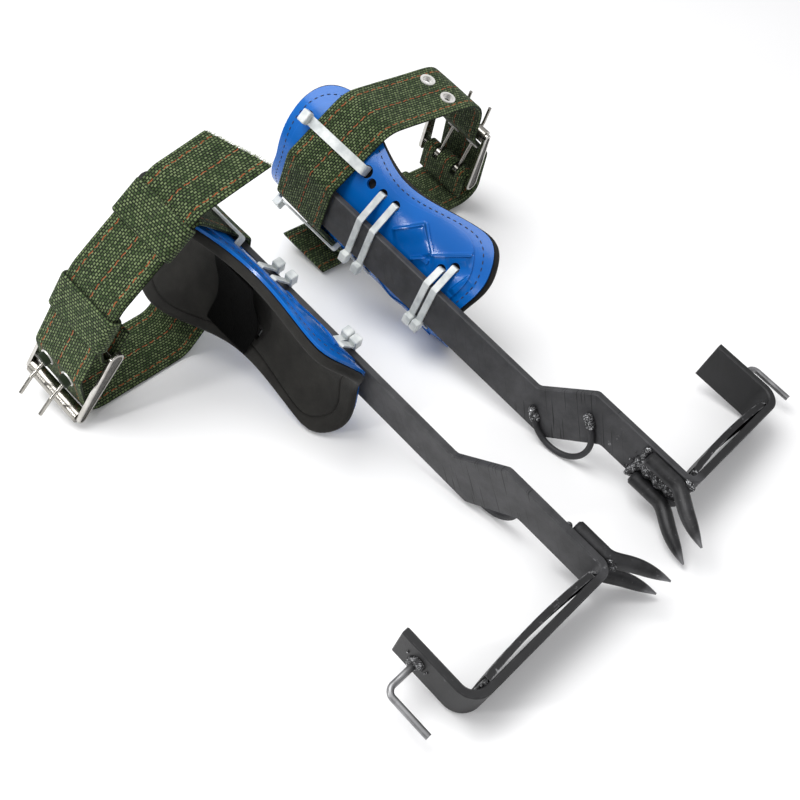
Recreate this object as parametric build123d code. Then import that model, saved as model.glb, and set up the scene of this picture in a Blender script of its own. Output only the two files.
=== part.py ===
from build123d import *
from math import acos, asin, atan, atan2, cos, degrees, hypot, radians, sin, tan
import os

# A mirror-image pair of tree climbing spikes, lying side by side on a flat surface.
# Each spike is modelled in its own frame, in millimetres. X runs up the shank from the
# underside of the foot plate, Y from the shank's outer face towards the foot, and Z
# across the bar, positive on the edge that lies uppermost. The right spike is the
# mirror image, apart from the way its belt, its hook and its tie heads lie.

# Flat bar: shank, foot plate and upright
bar_width = 30.0
bar_thickness = 5.0
bar_top = 341.0
bar_edge = 0.7
stirrup_width = 115.0
upright_height = 53.0
shank_bend = 4.0
upright_bend = 9.0
jog_offset = 32.0
jog_start = 80.0
jog_lag = 21.0
jog_round = 5.0

# Tread strip welded on the foot plate
tread_thickness = 4.0
tread_bow = 2.2
tread_inset = 1.0
tread_margin = 3.0

# Round rods: ankle loop in the notch of the jog, hook on the upright
loop_rod = 4.0
loop_radius = 21.5
loop_leg = 6.0
loop_height = 84.0
loop_drop = 24.0
hook_rod = 4.0
hook_reach = 22.0
hook_bend = 5.0
hook_drop = 31.0
hook_height = {"left": 38.0, "right": 29.0}

# Gaffs: claws forged from round bar, welded side by side on the outer face. Each station
# of the claw gives its share of the way down, of the stand-off and of the full thickness
gaff_root = 32.0
gaff_heel = 11.0
gaff_round = 9.4
gaff_flat = 0.4
gaff_gap = 11.6
gaff_point = 26.0
gaff_stand_off = 24.0
gaff_lean = 4.0
gaff_bevel = 1.5
gaff_stations = (
    (0.22, 0.14, 1.03),
    (0.50, 0.53, 0.98),
    (0.75, 0.79, 0.72),
    (0.92, 0.94, 0.34),
    (1.00, 1.00, 0.13),
)

# Weld beads
weld_radius = 3.6
weld_length = 24.0
weld_rise = 4.4

# Shin guard: moulded shell on a foam lining, both curved round the shin
shell_radius = 60.0
shell_thickness = 2.0
shell_top = 366.0
shell_bottom = 184.0
shell_waist = 272.0
shell_top_half = 70.0
shell_waist_half = 50.0
shell_bottom_half = 60.0
shell_rear_half = 53.5
panel_rise = 1.0
panel_border = 10.0
rib_rise = 1.0
rib_width = 2.6
rib_lines = (
    ((256.0, 22.0), (240.0, 39.0), (223.0, 27.0), (202.0, 44.0)),
    ((234.0, 15.0), (229.0, 20.0), (222.0, 21.0)),
)
foam_thickness = 6.5
foam_border = 2.5
foam_groove = 2.6
vent_radius = 3.5
vent_arc = 34.0
vent_height = 287.0
seat_gap = 0.2

# Elastic band of the shin guard, slack inside the lining
band_width = 38.0
band_thickness = 1.6
band_height = 263.0
band_angle = 47.0
band_slack = 11.0

# Nylon ties
tie_width = 4.8
tie_thickness = 1.2
tie_head = 6.4
tie_head_long = 8.0
tie_room = 0.6
tie_round = 0.9
upper_tie_heights = (276.0, 264.0)
lower_tie_holes = ((212.0, 24.0), (205.0, 31.0))
belt_tie_width = 7.0
belt_tie_angle = 36.0
belt_tie_margin = 7.0

# Webbing belt
belt_width = 45.0
belt_thickness = 2.6
belt_height = 302.0
belt_gap = 0.5
belt_lean = {"left": 0.0, "right": 0.10}
bar_turn = 2.5
roll_turn = 6.0

# Where the buckle's heel bar lies, and the way from it to the roller
heel_place = {"left": (108.0, -48.0), "right": (152.0, -58.0)}
buckle_angle = {"left": -57.3, "right": 101.5}
buckle_side = {"left": 1, "right": -1}
knee_along = 20.0
knee_out = 14.0
knee_turn = 4.0
over_length = 60.0
over_flare = 2.7
run_angle = 141.7
run_length = 76.0
tip_angle = 172.0
tip_length = 47.0
top_run_rise = 44.0
far_turn = 15.0
arch_turn = 38.0
shoulder_turn = 20.0
top_turn = 24.0
table_turn = 12.0
tail_stop = 20.0
flap_length = 20.0

# Roller buckle with two prongs
buckle_wire = 4.5
buckle_length = 50.0
buckle_room = 2.2
buckle_plate = 2.8
buckle_heel_half = 5.6
buckle_heel_back = 2.0
buckle_nose_half = 3.3
buckle_pocket = 0.8
buckle_rim = 1.7
roller_radius = 5.0
roller_fit = 0.06
roller_end_play = 0.5
prong_wire = 2.6
prong_spacing = 20.0
prong_ring = 1.8
prong_ring_width = 3.4
prong_fit = 0.05
prong_angle = 21.0
prong_length = 46.0
prong_tip_angle = 8.0
prong_tip = 13.5
prong_slot = 1.6
fold_gap = 0.35
eyelet_hole = 3.8
eyelet_wall = 0.6
eyelet_flange = 1.7
eyelet_lip = 0.8
eyelet_fit = 0.1
spare_eyelet_back = 28.0

# Belt keepers
keeper_width = 25.0
keeper_thickness = 2.0
keeper_gap = 0.4
keeper_round = 0.9
fixed_keeper_back = 31.0
sliding_keeper_back = 54.0
fixed_keeper_under = 130.0
sliding_keeper_under = 88.0

# How the pair lies: foot side rolled down, shin end pitched up, outer faces apart
pitch_angle = 15.9
roll_angle = 4.85
pair_gap = 79.2

half_bar = bar_width / 2
front_edge = half_bar - jog_offset
rear_edge = -half_bar - jog_offset
shin_axis = (bar_thickness + seat_gap + panel_rise + shell_radius, -jog_offset)
across_bar = Plane(origin=(0, 0, 0), x_dir=(1, 0, 0), z_dir=(0, -1, 0))


# Plane geometry on pairs of numbers, for routes seen up the shank as (Y, Z)
def unit(vector):
    size = hypot(vector[0], vector[1])
    return (vector[0] / size, vector[1] / size)


def heading(angle):
    return (cos(radians(angle)), sin(radians(angle)))


def step(point, direction, distance):
    return (point[0] + direction[0] * distance, point[1] + direction[1] * distance)


def left_of(direction):
    return (-direction[1], direction[0])


def crossing(point_a, direction_a, point_b, direction_b):
    across = direction_a[0] * direction_b[1] - direction_a[1] * direction_b[0]
    gap = (point_b[0] - point_a[0], point_b[1] - point_a[1])
    along = (gap[0] * direction_b[1] - gap[1] * direction_b[0]) / across
    return step(point_a, direction_a, along)


def tangent_heading(point, centre, radius, side):
    """Heading from a point that just clears a circle, on its left (1) or right (-1)."""
    base = atan2(centre[1] - point[1], centre[0] - point[0])
    spread = asin(radius / hypot(centre[0] - point[0], centre[1] - point[1]))
    return (cos(base + side * spread), sin(base + side * spread))


def strip_sides(points, radii, thickness, closed):
    """The two side lines of a strip that follows a route with rounded corners."""
    half = thickness / 2
    ring = points + points[:1] if closed else points
    runs = []
    for first, second in zip(ring, ring[1:]):
        runs.append(unit((second[0] - first[0], second[1] - first[1])))
    sides = {1: ([], []), -1: ([], [])}
    corners = range(len(points)) if closed else range(1, len(points) - 1)
    for order, index in enumerate(corners):
        before = runs[index - 1]
        after = runs[index]
        facing = 1 + before[0] * after[0] + before[1] * after[1]
        shift = step(left_of(before), left_of(after), 1)
        turn = before[0] * after[1] - before[1] * after[0]
        for side, (line, bends) in sides.items():
            line.append(step(points[index], shift, side * half / facing))
            bends.append(radii[order] - side * (half if turn > 0 else -half))
    for side, (line, bends) in sides.items():
        if not closed:
            line.insert(0, step(points[0], left_of(runs[0]), side * half))
            line.append(step(points[-1], left_of(runs[-1]), side * half))
    return sides


def strip_face(points, radii, thickness):
    """Outline of a strip of even thickness with square ends."""
    sides = strip_sides(points, radii, thickness, False)
    left_line, left_bends = sides[1]
    right_line, right_bends = sides[-1]
    left_wire = FilletPolyline(*left_line, radius=left_bends)
    right_wire = FilletPolyline(*right_line, radius=right_bends)
    caps = [Line(left_line[0], right_line[0]), Line(left_line[-1], right_line[-1])]
    return make_face(left_wire.edges() + right_wire.edges() + caps)


def ring_face(points, radii, thickness):
    """Outline of a closed strip of even thickness."""
    sides = strip_sides(points, radii, thickness, True)
    faces = []
    for line, bends in sides.values():
        faces.append(make_face(FilletPolyline(*line, radius=bends, close=True).edges()))
    faces.sort(key=lambda face: face.area)
    return faces[1] - faces[0]


def rod(path, diameter):
    """Round bar along a wire."""
    section = Plane(origin=path @ 0, z_dir=path % 0) * Circle(diameter / 2)
    return sweep(section, path=path)


def on_shin(radius, angle):
    """Point (Y, Z) at a radius and angle round the shin's axis, 0 being at the bar."""
    return step(shin_axis, heading(180 - angle), radius)


def table_under(height, reach):
    """Z of the surface that the spike lies on, below a point (X, Y) of its frame."""
    fall = tan(radians(pitch_angle)) / cos(radians(roll_angle))
    return -half_bar - height * fall + (reach - stirrup_width) * tan(radians(roll_angle))


# Shank and stirrup: one flat bar, offset in its plane and bent up round the foot
def shank_and_stirrup():
    inner = stirrup_width - bar_thickness
    bends = {
        (0, 0): shank_bend + bar_thickness,
        (0, stirrup_width): upright_bend + bar_thickness,
        (bar_thickness, bar_thickness): shank_bend,
        (bar_thickness, inner): upright_bend,
    }
    side = Polyline(
        (bar_top, 0),
        (0, 0),
        (0, stirrup_width),
        (upright_height, stirrup_width),
        (upright_height, inner),
        (bar_thickness, inner),
        (bar_thickness, bar_thickness),
        (bar_top, bar_thickness),
        close=True,
    )
    profile = make_face(side)
    for place, radius in bends.items():
        nearest = profile.vertices().sort_by_distance((place[0], place[1], 0))[0]
        profile = fillet(nearest, radius)
    bent = Pos(0, 0, rear_edge) * extrude(profile, amount=bar_width + jog_offset)
    outline = Polyline(
        (-bar_thickness, half_bar),
        (jog_start, half_bar),
        (jog_start + jog_offset, front_edge),
        (bar_top, front_edge),
        (bar_top, rear_edge),
        (jog_start + jog_offset - jog_lag, rear_edge),
        (jog_start - jog_lag, -half_bar),
        (-bar_thickness, -half_bar),
        close=True,
    )
    blank = make_face(outline)
    blank = fillet(blank.vertices().sort_by(Axis.X)[2:6], jog_round)
    bar = bent & extrude(across_bar * blank, amount=stirrup_width, both=True)
    long_edges = bar.edges().filter_by(GeomType.LINE)
    long_edges = long_edges.filter_by(lambda edge: edge.length > bar_width / 2)
    return chamfer(long_edges, bar_edge)


# Tread strip: flat strip on the foot plate, bowed clear of it between its welded ends
def tread_strip():
    start = bar_thickness + shank_bend + tread_margin
    end = stirrup_width - bar_thickness - upright_bend - tread_margin
    middle = (start + end) / 2
    lower = ThreePointArc(
        (bar_thickness, start), (bar_thickness + tread_bow, middle), (bar_thickness, end)
    )
    top = bar_thickness + tread_thickness
    upper = ThreePointArc((top, start), (top + tread_bow, middle), (top, end))
    ends = [Line(lower @ 0, upper @ 0), Line(lower @ 1, upper @ 1)]
    face = make_face([lower.edge(), upper.edge()] + ends)
    width = bar_width - 2 * tread_inset
    return Pos(0, 0, -width / 2) * extrude(face, amount=width)


# Ankle loop: round rod bent to a half ring, its two legs welded on the outer face
def loop_route():
    slant = unit((-jog_offset, -jog_offset))
    centre = (loop_height, -loop_drop)
    first = step(centre, left_of(slant), -loop_radius)
    second = step(centre, left_of(slant), loop_radius)
    points = {
        "start": step(first, slant, -loop_leg),
        "first": first,
        "bottom": step(centre, slant, loop_radius),
        "second": second,
        "end": step(second, slant, -loop_leg),
    }
    return {name: (x, -loop_rod / 2, z) for name, (x, z) in points.items()}


def ankle_loop():
    route = loop_route()
    path = Wire(
        [
            Line(route["start"], route["first"]).edge(),
            ThreePointArc(route["first"], route["bottom"], route["second"]).edge(),
            Line(route["second"], route["end"]).edge(),
        ]
    )
    return rod(path, loop_rod)


# Strap hook: round rod bent to a right angle, welded on the upright's outer face
def strap_hook(side):
    height = hook_height[side]
    outer = stirrup_width + hook_reach
    path = FilletPolyline(
        (height, stirrup_width, 0),
        (height, outer, 0),
        (height - hook_drop, outer, 0),
        radius=hook_bend,
    )
    return rod(path.wire(), hook_rod)


# Gaffs: the round foot of each lies along the shank, and the claw stands off from it
def gaff(middle):
    radius = gaff_round / 2
    seat = radius - gaff_flat
    line = [(gaff_heel, -seat, middle)]
    sizes = [radius]
    for way, off, share in gaff_stations:
        line.append(
            (
                gaff_heel - way * (gaff_heel + gaff_point),
                -seat - off * (gaff_stand_off - seat),
                middle - way * gaff_lean,
            )
        )
        sizes.append(share * radius)
    heads = [(-1, 0, 0)]
    for before, after in zip(line, line[2:] + line[-1:]):
        heads.append(tuple(b - a for a, b in zip(before, after)))
    sections = []
    for place, head, size in zip(line, heads, sizes):
        sections.append(Plane(origin=place, z_dir=head) * Circle(size))
    foot = Cylinder(radius, gaff_root - gaff_heel, align=(Align.CENTER, Align.CENTER, Align.MIN))
    foot = chamfer(foot.faces().sort_by(Axis.Z)[-1].edges(), gaff_bevel)
    shape = Plane(origin=line[0], z_dir=(1, 0, 0)) * foot + loft(sections)
    behind = Box(4 * gaff_root, gaff_round, 2 * gaff_round, align=(Align.CENTER, Align.MIN, Align.CENTER))
    return shape - Pos(0, 0, middle) * behind


gaff_middle = (gaff_round + gaff_gap) / 2


# Weld beads: run between the gaffs, and collars at the rods' feet
def weld_bead(centre, direction, length, radius):
    """Rounded bead of weld metal along a line."""
    plane = Plane(origin=centre, z_dir=direction)
    bead = plane * Cylinder(radius, length)
    for end in (-length / 2, length / 2):
        bead += plane * Pos(0, 0, end) * Sphere(radius)
    return bead


def weld_beads(side, pieces):
    route = loop_route()
    fill = (gaff_gap + gaff_flat) / 2
    middle = (gaff_root - weld_length / 2, fill - weld_rise, 0)
    beads = [weld_bead(middle, (1, 0, 0), weld_length, fill)]
    for foot in ("start", "end"):
        place = route[foot]
        beads.append(
            weld_bead((place[0], -loop_rod / 4, place[2]), (1, 0, 1), loop_rod, weld_radius)
        )
    hook_foot = (hook_height[side], stirrup_width, 0)
    beads.append(weld_bead(hook_foot, (0, 0, 1), hook_rod, weld_radius))
    solids = []
    for bead in beads:
        for piece in pieces:
            bead = bead - piece
        solids.extend(bead.solids().sort_by(SortBy.VOLUME)[-1:])
    return Compound(children=solids)


# Shin guard
def guard_outline(border, radius):
    """Outline (X, Z) of the guard, grown by a border, for a sheet of a given radius."""
    top_half = shell_top_half + border
    top = shell_top + border
    bottom = shell_bottom - border
    lobe = (shell_top - shell_waist) / 5
    sides = []
    for lower in (shell_bottom_half, -shell_rear_half):
        side = 1 if lower > 0 else -1
        lower_half = lower + side * border
        sides.append(
            [
                (top, side * top_half * 0.5),
                (top - lobe / 4, side * top_half * 0.84),
                (top - lobe, side * top_half),
                (shell_waist, side * (min(shell_waist_half, abs(lower)) + border)),
                (bottom + 1.5 * lobe, lower_half),
                (bottom + lobe / 2, lower_half * 0.93),
                (bottom, lower_half * 0.66),
            ]
        )
    whole = [(top - lobe / 5, 0)] + sides[0] + [(bottom + lobe / 5, 0)] + sides[1][::-1]
    points = []
    for height, arc in whole:
        points.append((height, shin_axis[1] + radius * sin(arc / shell_radius)))
    return make_face(Spline(*points, periodic=True))


def curved_sheet(outline, radius, thickness, outward):
    """Sheet of even thickness, curved round the shin, inside an outline (X, Z)."""
    start = shell_bottom / 2
    ends = [on_shin(radius, angle) for angle in (-88, 0, 88)]
    arc = ThreePointArc(*[(start, y, z) for y, z in ends])
    cylinder = Face.extrude(arc.edge(), (shell_top, 0, 0))
    patch = cylinder & extrude(across_bar * outline, amount=-shin_axis[0])
    growth = (0, -1, 0) if outward else (0, 1, 0)
    return Part(Solid.thicken(patch.face(), thickness, normal_override=growth).wrapped)


def shell_hole(height, angle, radius):
    y, z = on_shin(shell_radius, angle)
    facing = on_shin(shell_radius + 1, angle)
    plane = Plane(origin=(height, y, z), z_dir=(0, facing[0] - y, facing[1] - z))
    return plane * Cylinder(radius, 6 * shell_thickness)


def arc_angle(arc):
    return degrees(arc / shell_radius)


belt_tie_ends = (belt_height - belt_tie_margin, belt_height + belt_width + belt_tie_margin)


def shin_shell():
    root = shell_thickness / 2
    shell = curved_sheet(guard_outline(0, shell_radius), shell_radius, shell_thickness, False)
    panel_face = guard_outline(-panel_border, shell_radius)
    shell += curved_sheet(panel_face, shell_radius - root, panel_rise + root, True)
    panel_radius = shell_radius + panel_rise
    for rib_line in rib_lines:
        for mirror_sign in (1, -1):
            zigzag = []
            for height, arc in rib_line:
                rise = panel_radius * sin(arc / shell_radius) * mirror_sign
                zigzag.append((height, shin_axis[1] + rise))
            rib = strip_face(zigzag, [rib_width] * (len(zigzag) - 2), rib_width)
            shell += curved_sheet(rib, panel_radius - root, rib_rise + root, True)
    holes = [(vent_height, arc_angle(vent_arc))]
    holes += [(height, arc_angle(vent_arc)) for height in upper_tie_heights]
    holes += [(height, arc_angle(arc)) for height, arc in lower_tie_holes]
    for height, angle in holes:
        for mirror_sign in (1, -1):
            shell -= shell_hole(height, angle * mirror_sign, vent_radius)
    for height in belt_tie_ends:
        for mirror_sign in (1, -1):
            shell -= shell_hole(height, belt_tie_angle * mirror_sign, belt_tie_width / 2 + 1)
    return shell


lining_radius = shell_radius - shell_thickness - seat_gap
lining_inside = lining_radius - foam_thickness


def shin_foam():
    foam = curved_sheet(guard_outline(foam_border, lining_radius), lining_radius, foam_thickness, False)
    groove_width = tie_width + 2 * tie_room
    ring = Circle(shell_radius) - Circle(lining_radius - foam_groove)
    heights = list(upper_tie_heights) + [height for height, arc in lower_tie_holes]
    for height in heights:
        plane = Plane.YZ.offset(height - groove_width / 2)
        foam -= extrude(plane * Pos(*shin_axis) * ring, amount=groove_width)
    length = belt_tie_ends[1] - belt_tie_ends[0] + 2 * belt_tie_width
    for angle in (belt_tie_angle, -belt_tie_angle):
        y, z = on_shin(lining_radius, angle)
        channel = Box(length, 2 * foam_groove, belt_tie_width + 2)
        middle = sum(belt_tie_ends) / 2
        foam -= Pos(middle, y, z) * Rot(X=-angle) * channel
    return foam


# Elastic band: slack across the inside of the lining
def elastic_band():
    radius = lining_inside - seat_gap - band_thickness
    deep = step(on_shin(radius, 0), (1, 0), band_slack)
    first, second = on_shin(radius, band_angle), on_shin(radius, -band_angle)
    near = ThreePointArc(first, deep, second)
    thick = (band_thickness, 0)
    far = ThreePointArc(step(first, thick, -1), step(deep, thick, -1), step(second, thick, -1))
    ends = [Line(near @ 0, far @ 0), Line(near @ 1, far @ 1)]
    face = make_face([near.edge(), far.edge()] + ends)
    return extrude(Plane.YZ.offset(band_height) * face, amount=band_width)


# Nylon ties round the bar and through the shell
tie_run = seat_gap + tie_thickness / 2
tie_inside = shell_radius - shell_thickness - tie_run
tie_outside = shell_radius + panel_rise + tie_run


def bar_tie(height, angle, side):
    points = [
        on_shin(tie_inside, 0),
        on_shin(tie_inside, angle / 2),
        on_shin(tie_inside, angle),
        on_shin(tie_outside, angle),
        (-tie_run, front_edge + tie_run),
        (-tie_run, rear_edge - tie_run),
        on_shin(tie_outside, -angle),
        on_shin(tie_inside, -angle),
        on_shin(tie_inside, -angle / 2),
    ]
    wide = tie_inside / 2
    radii = [wide, wide] + [tie_round] * 6 + [wide]
    face = ring_face(points, radii, tie_thickness)
    tie = extrude(Plane.YZ.offset(height - tie_width / 2) * face, amount=tie_width)
    head_edge = front_edge + seat_gap if side == "left" else rear_edge - seat_gap - tie_head_long
    head = Box(tie_head, tie_head, tie_head_long, align=(Align.CENTER, Align.MAX, Align.MIN))
    head = chamfer(head.edges(), tie_thickness / 2)
    return tie + Pos(height, bar_thickness / 4, head_edge) * head


def belt_face_radius(angle):
    """Radius round the shin of the belt's outer face, where it runs past the shell."""
    inner = shell_radius + panel_rise + belt_gap + belt_thickness / 2
    start = bar_corner(front_edge, 1)
    reach = hypot(start[0] - shin_axis[0], start[1] - shin_axis[1])
    lead = degrees(atan2(start[1] - shin_axis[1], shin_axis[0] - start[0]))
    touch = lead + degrees(acos(inner / reach))
    return (inner + belt_thickness / 2) / cos(radians(abs(angle) - touch))


def belt_tie(angle):
    outside = belt_face_radius(angle) + tie_run + tie_thickness
    low, high = belt_tie_ends
    points = [(low, tie_inside), (high, tie_inside), (high, outside), (low, outside)]
    face = ring_face(points, [2 * tie_round] * 4, tie_thickness)
    turned = radians(angle)
    plane = Plane(
        origin=(0, shin_axis[0], shin_axis[1]),
        x_dir=(1, 0, 0),
        z_dir=(0, -sin(turned), -cos(turned)),
    )
    loop = extrude(plane * face, amount=belt_tie_width / 2, both=True)
    head = Box(tie_head, tie_head, belt_tie_width + 2)
    head = chamfer(head.edges(), tie_thickness / 2)
    place = Pos(high - tie_head / 2, outside + tie_head / 2 - tie_thickness / 2, 0)
    return loop + plane * place * head


# Belt: one length of webbing, folded on the buckle's heel bar, round the bar and shell,
# and back through the buckle to its free end
layer_pitch = belt_thickness + belt_gap
fold_radius = buckle_wire / 2 + fold_gap + belt_thickness / 2


def bar_corner(edge, side):
    return (-belt_gap - belt_thickness / 2, edge + side * bar_turn)


def buckle_axes(side):
    along = heading(buckle_angle[side])
    return along, step((0, 0), left_of(along), buckle_side[side])


def buckle_point(side, along_amount, out_amount):
    along, outward = buckle_axes(side)
    return step(step(heel_place[side], along, along_amount), outward, out_amount)


def roller_place(side):
    return buckle_point(side, buckle_length, 0)


def belt_lines(side):
    """Points and headings that the belt's route and its fittings share."""
    sign = buckle_side[side]
    knee = buckle_point(side, knee_along, knee_out)
    pass_radius = roller_radius + belt_gap + belt_thickness / 2
    inward_cross = tangent_heading(knee, roller_place(side), pass_radius, -sign)
    over = heading(buckle_angle[side] + 180 - sign * over_flare)
    under_knee = step(knee, left_of(over), sign * layer_pitch)
    clear = shell_radius + panel_rise + belt_gap + belt_thickness / 2
    front = bar_corner(front_edge, 1)
    rear = bar_corner(rear_edge, -1)
    return {
        "knee": knee,
        "cross": inward_cross,
        "over": over,
        "under_knee": under_knee,
        "front": front,
        "rear": rear,
        "front_run": tangent_heading(front, shin_axis, clear, 1),
        "rear_run": tangent_heading(rear, shin_axis, clear, -1),
        "fold": [
            buckle_point(side, -flap_length, -fold_radius - belt_gap),
            buckle_point(side, fold_radius, -fold_radius),
            buckle_point(side, fold_radius, fold_radius),
            step(under_knee, over, knee_along + 2 * fold_radius),
        ],
    }


def table_line(side, lift):
    """Point and heading of a run that lies a little above the table."""
    lean = belt_lean[side]
    start = table_under(belt_height, 0) + lift
    end = table_under(belt_height - lean * stirrup_width, stirrup_width) + lift
    return (0, start), unit((stirrup_width, end - start))


def left_lines():
    lines = belt_lines("left")
    lines["bend"] = step(lines["knee"], lines["over"], over_length)
    lines["run"] = heading(run_angle)
    lines["under_bend"] = step(lines["bend"], left_of(lines["run"]), layer_pitch)
    return lines


def left_route():
    lines = left_lines()
    low, level = table_line("left", seat_gap + belt_thickness / 2)
    crest = step(lines["bend"], lines["run"], run_length)
    points = lines["fold"] + [
        crossing(lines["under_knee"], lines["over"], lines["under_bend"], lines["run"]),
        crossing(lines["under_bend"], lines["run"], lines["front"], lines["front_run"]),
        lines["front"],
        lines["rear"],
        crossing(lines["rear"], lines["rear_run"], low, level),
        crossing(lines["knee"], lines["cross"], low, level),
        lines["knee"],
        lines["bend"],
        crest,
        step(crest, heading(tip_angle), tip_length),
    ]
    fold_turn = 0.97 * fold_radius
    radii = [fold_turn, fold_turn, roll_turn, arch_turn - layer_pitch, roll_turn]
    radii += [bar_turn, bar_turn, table_turn, far_turn, knee_turn, arch_turn, far_turn]
    return points, radii


def right_lines():
    lines = belt_lines("right")
    lift = seat_gap + keeper_thickness + keeper_gap + belt_thickness / 2
    lines["low"], lines["level"] = table_line("right", lift)
    lines["inner_low"] = step(lines["low"], left_of(lines["level"]), layer_pitch)
    lines["top"] = (0, front_edge + top_run_rise)
    return lines


def right_route():
    lines = right_lines()
    along = heading(buckle_angle["right"])
    turn_in = step(lines["knee"], lines["cross"], buckle_length - knee_along + roller_radius)
    points = lines["fold"] + [
        crossing(lines["under_knee"], lines["over"], lines["inner_low"], lines["level"]),
        crossing(lines["rear"], lines["rear_run"], lines["inner_low"], lines["level"]),
        lines["rear"],
        lines["front"],
        crossing(lines["front"], lines["front_run"], lines["top"], (1, 0)),
        crossing(turn_in, along, lines["top"], (1, 0)),
        turn_in,
        lines["knee"],
        crossing(lines["knee"], lines["over"], lines["low"], lines["level"]),
        step(lines["low"], lines["level"], tail_stop),
    ]
    fold_turn = 0.97 * fold_radius
    radii = [fold_turn, fold_turn, roll_turn, far_turn - layer_pitch, table_turn]
    radii += [bar_turn, bar_turn, shoulder_turn, top_turn, table_turn, knee_turn, far_turn]
    return points, radii


def belt_middle(side, reach):
    """Height of the belt's middle line at a distance Y, with its lean."""
    return belt_height + belt_width / 2 - belt_lean[side] * reach


def webbing(side):
    points, radii = left_route() if side == "left" else right_route()
    slant = atan(belt_lean[side])
    route = [(y / cos(slant), z) for y, z in points]
    plane = Plane(
        origin=(belt_height, 0, 0),
        x_dir=(-sin(slant), cos(slant), 0),
        z_dir=(cos(slant), sin(slant), 0),
    )
    face = strip_face(route, radii, belt_thickness)
    belt = extrude(plane * face, amount=belt_width, dir=(1, 0, 0))
    heel = heel_place[side]
    for offset in prong_offsets():
        place = (belt_middle(side, heel[0]) + offset, heel[0], heel[1])
        reach = fold_radius + belt_thickness
        slot = Box(prong_ring_width + prong_slot, 2 * reach, 3 * reach)
        belt -= Pos(*place) * Rot(X=buckle_angle[side]) * Pos(0, reach / 2, 0) * slot
    for place, axis in eyelet_places(side):
        bore = Plane(origin=place, z_dir=axis)
        belt -= bore * Cylinder(eyelet_hole + eyelet_wall + eyelet_fit, 3 * belt_thickness)
    return belt


# Roller buckle
def prong_offsets():
    return (-prong_spacing / 2, prong_spacing / 2)


def buckle_inside():
    return belt_width + 2 * buckle_room


def buckle_plane(side):
    heel = heel_place[side]
    along = heading(buckle_angle[side])
    return Plane(
        origin=(belt_middle(side, heel[0]), heel[0], heel[1]),
        x_dir=(1, 0, 0),
        z_dir=(0, -along[1], along[0]),
    )


def plate_outline(heel_half, nose_half):
    """Outline of a side plate, wide round the heel bar and narrow at the roller's bar."""
    ends = (Pos(0, -buckle_heel_back) * Circle(heel_half)).edges()
    ends += (Pos(0, buckle_length) * Circle(nose_half)).edges()
    return make_hull(ends)


def buckle_frame(side):
    inside = buckle_inside()
    bar = Rot(Y=90) * Cylinder(buckle_wire / 2, inside + buckle_plate)
    frame = bar + Pos(0, buckle_length, 0) * bar
    plate_shape = Plane.YZ * Rot(Z=-90) * plate_outline(buckle_heel_half, buckle_nose_half)
    pocket_shape = Plane.YZ * Rot(Z=-90) * plate_outline(
        buckle_heel_half - buckle_rim, buckle_nose_half - buckle_rim
    )
    plate = extrude(plate_shape, amount=buckle_plate)
    outer_edges = plate.faces().sort_by(Axis.X)[-1].edges()
    plate = fillet(outer_edges, buckle_rim / 2)
    plate -= Pos(buckle_plate - buckle_pocket, 0, 0) * extrude(pocket_shape, amount=buckle_plate)
    plate = Pos(inside / 2, 0, 0) * plate
    frame += plate + mirror(plate, about=Plane.YZ)
    return buckle_plane(side) * frame


def buckle_roller(side):
    y, z = roller_place(side)
    length = buckle_inside() - 2 * roller_end_play
    bore = buckle_wire / 2 + roller_fit
    tube = Cylinder(roller_radius, length) - Cylinder(bore, length)
    return Pos(belt_middle(side, heel_place[side][0]), y, z) * Rot(Y=90) * tube


def prong_points(side):
    start = buckle_wire / 2 + prong_fit + prong_ring / 2
    shaft = heading(prong_angle)
    bend = step((0, 0), shaft, prong_length)
    tip = step(bend, heading(prong_tip_angle), prong_tip)
    steps = [step((0, 0), shaft, start), bend, tip]
    return [buckle_point(side, along, out) for along, out in steps]


def buckle_prong(side, offset):
    heel = heel_place[side]
    height = belt_middle(side, heel[0]) + offset
    points = [(height, y, z) for y, z in prong_points(side)]
    arm = rod(FilletPolyline(*points, radius=prong_wire * 2).wire(), prong_wire)
    bore = buckle_wire / 2 + prong_fit
    at_heel = Pos(height, heel[0], heel[1]) * Rot(Y=90)
    ring = at_heel * Cylinder(bore + prong_ring, prong_ring_width)
    return ring + arm - at_heel * Cylinder(bore, 2 * prong_ring_width)


# Eyelets: rings clenched through the webbing, two side by side for each prong position
def eyelet_places(side):
    lines = belt_lines(side)
    root, bend = prong_points(side)[:2]
    shaft = unit((bend[0] - root[0], bend[1] - root[1]))
    hole = crossing(root, shaft, lines["knee"], lines["cross"])
    rows = [(hole, left_of(lines["cross"]))]
    if side == "right":
        top_corner = right_route()[0][9]
        rows.append((step(top_corner, (-1, 0), spare_eyelet_back), (0, 1)))
    places = []
    for (y, z), facing in rows:
        for offset in prong_offsets():
            place = (belt_middle(side, y) + offset, y, z)
            places.append((place, (0, facing[0], facing[1])))
    return places


def eyelets(side):
    solids = []
    length = belt_thickness + 2 * eyelet_fit + 2 * eyelet_lip
    for place, axis in eyelet_places(side):
        ring = Cylinder(eyelet_hole + eyelet_wall, length)
        for end in (-1, 1):
            lip = Cylinder(eyelet_hole + eyelet_flange, eyelet_lip)
            ring += Pos(0, 0, end * (length - eyelet_lip) / 2) * lip
        ring -= Cylinder(eyelet_hole, length)
        solids.extend((Plane(origin=place, z_dir=axis) * ring).solids())
    return Compound(children=solids)


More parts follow.
